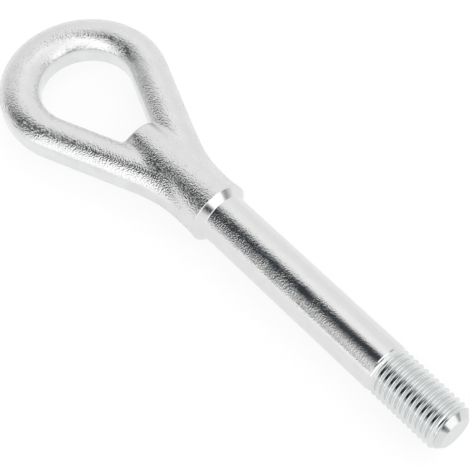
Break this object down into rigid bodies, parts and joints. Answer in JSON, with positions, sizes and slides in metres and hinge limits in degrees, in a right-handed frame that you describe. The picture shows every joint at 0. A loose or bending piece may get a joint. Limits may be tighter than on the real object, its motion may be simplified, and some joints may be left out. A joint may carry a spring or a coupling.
{
  "type": "tow eye",
  "caption": "Forged steel screw-in towing eye: flat pear-shaped loop, stout neck, conical collar seat, plain shank and threaded tip that screws into a socket behind a car's bumper.",
  "frame": {"origin": "on the shank's axis, in the plane of the collar's sharp edge where the conical seat begins", "axes": "+X along the shank towards the threaded tip, +Y across the eye, +Z square to the flat of the eye"},
  "size_m": [0.1926, 0.0552, 0.0206],
  "materials": {
    "zinc_plate": "bright zinc plate over a shot-blasted forging, smooth where the seat, shank and thread are turned"
  },
  "bodies": {
    "root": {"tow_eye": "zinc_plate"}
  },
  "joints": []
}
